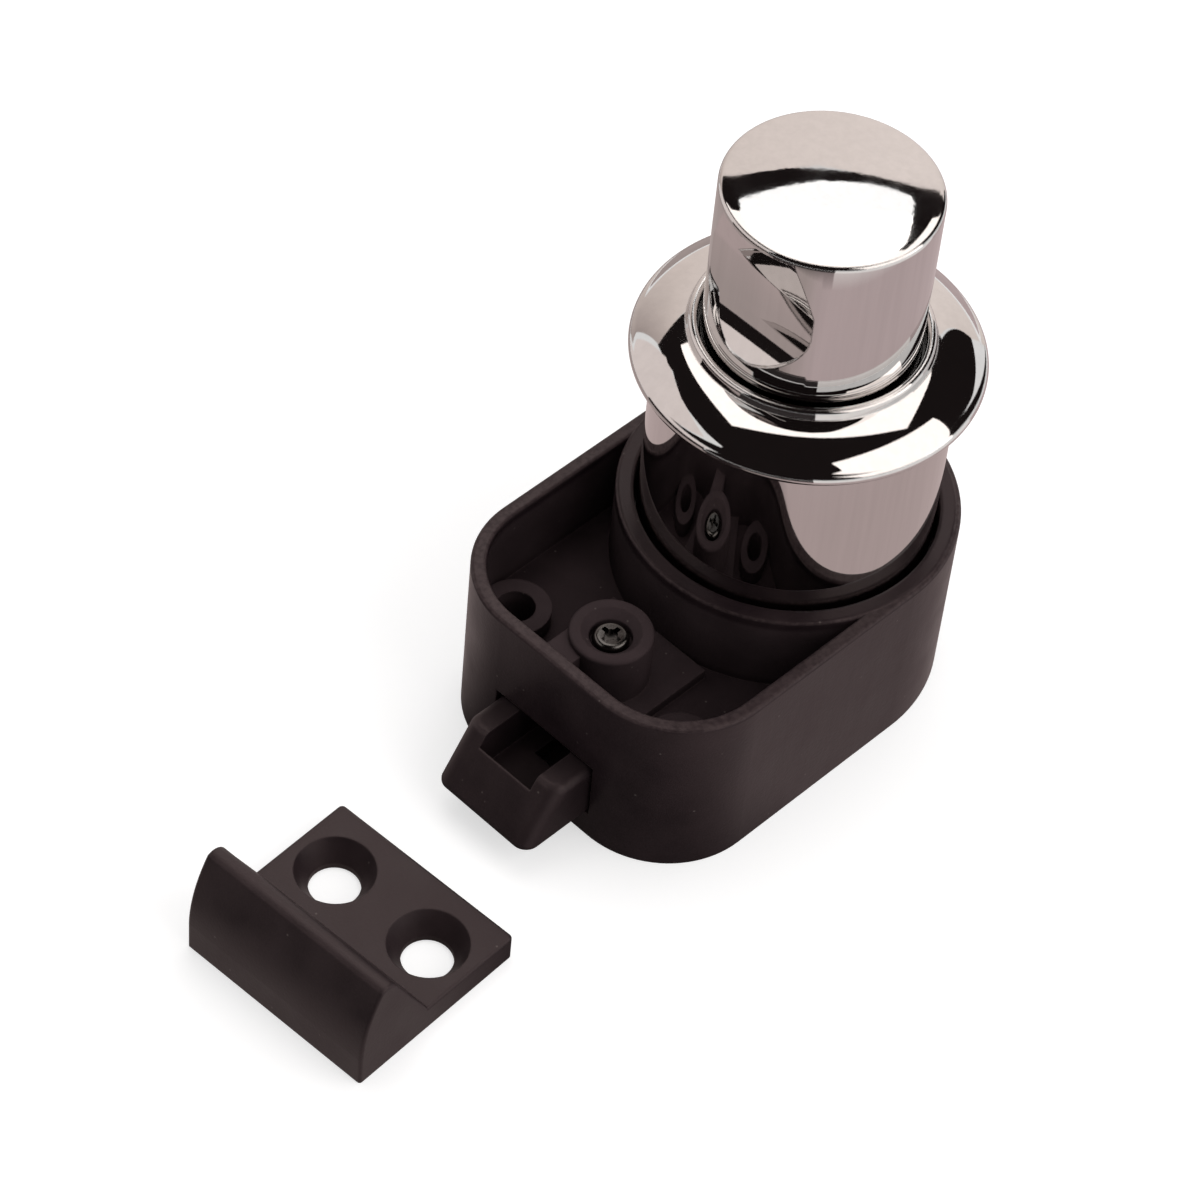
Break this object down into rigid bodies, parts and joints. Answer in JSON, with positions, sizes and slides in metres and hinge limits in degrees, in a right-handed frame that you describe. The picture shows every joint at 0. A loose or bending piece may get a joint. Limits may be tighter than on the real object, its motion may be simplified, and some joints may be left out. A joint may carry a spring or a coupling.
{
  "type": "pushbutton latch",
  "caption": "Cupboard door latch with a round push knob, clamping rosette, sliding bolt and separate screw-down striker.",
  "frame": {"origin": "on the knob's axis, at the underside of the latch's body", "axes": "+Z along the knob's axis towards the front of the door, -Y the way the bolt points, +X to the right seen from the front with the bolt pointing down"},
  "size_m": [0.0264, 0.0671, 0.0477],
  "materials": {
    "housing": "moulded, satin, warm black",
    "cover": "moulded, satin, warm black",
    "guide_plastic": "moulded acetal",
    "bush_plastic": "moulded acetal",
    "rosette_chrome": "bright chrome plate",
    "knob_chrome": "bright chrome plate",
    "screw_steel": "zinc plated",
    "stem_steel": "turned",
    "wedge_metal": "die cast, as cast",
    "spring_steel": "drawn wire",
    "bolt_plastic": "moulded, satin, warm black",
    "striker_plastic": "moulded, satin, warm black"
  },
  "bodies": {
    "latch_body": {"housing": "housing", "bottom_cover": "cover", "cover_screw": "screw_steel", "guide_tower": "guide_plastic", "tower_screws": "screw_steel", "rosette": "rosette_chrome", "bore_bush": "bush_plastic", "lower_washer": "screw_steel", "knob_spring": "spring_steel", "bolt_spring": "spring_steel"},
    "push_knob": {"knob": "knob_chrome", "stem": "stem_steel", "stem_nut": "screw_steel", "cam_wedge": "wedge_metal", "wedge_pin": "stem_steel", "retaining_clip": "spring_steel", "upper_washer": "screw_steel"},
    "sliding_bolt": {"bolt": "bolt_plastic"},
    "loose_striker": {"striker": "striker_plastic"}
  },
  "joints": [
    {"name": "knob_press", "type": "slide", "parent": "latch_body", "child": "push_knob", "axis": [0, 0, -1], "range_m": [0, 0.006], "stiffness_N_per_m": 570, "springref_m": -0.006, "deforming": ["knob_spring"]},
    {"name": "bolt_slide", "type": "slide", "parent": "latch_body", "child": "sliding_bolt", "axis": [0, 1, 0], "range_m": [0, 0.0051], "stiffness_N_per_m": 740, "springref_m": -0.002, "deforming": ["bolt_spring"]},
    {"name": "striker_place", "type": "slide", "parent": "latch_body", "child": "loose_striker", "axis": [0, -1, 0], "range_m": [0, 0.00002]}
  ],
  "couplings": [
    {"joint": "bolt_slide", "follows": "knob_press", "ratio": 0.85}
  ]
}
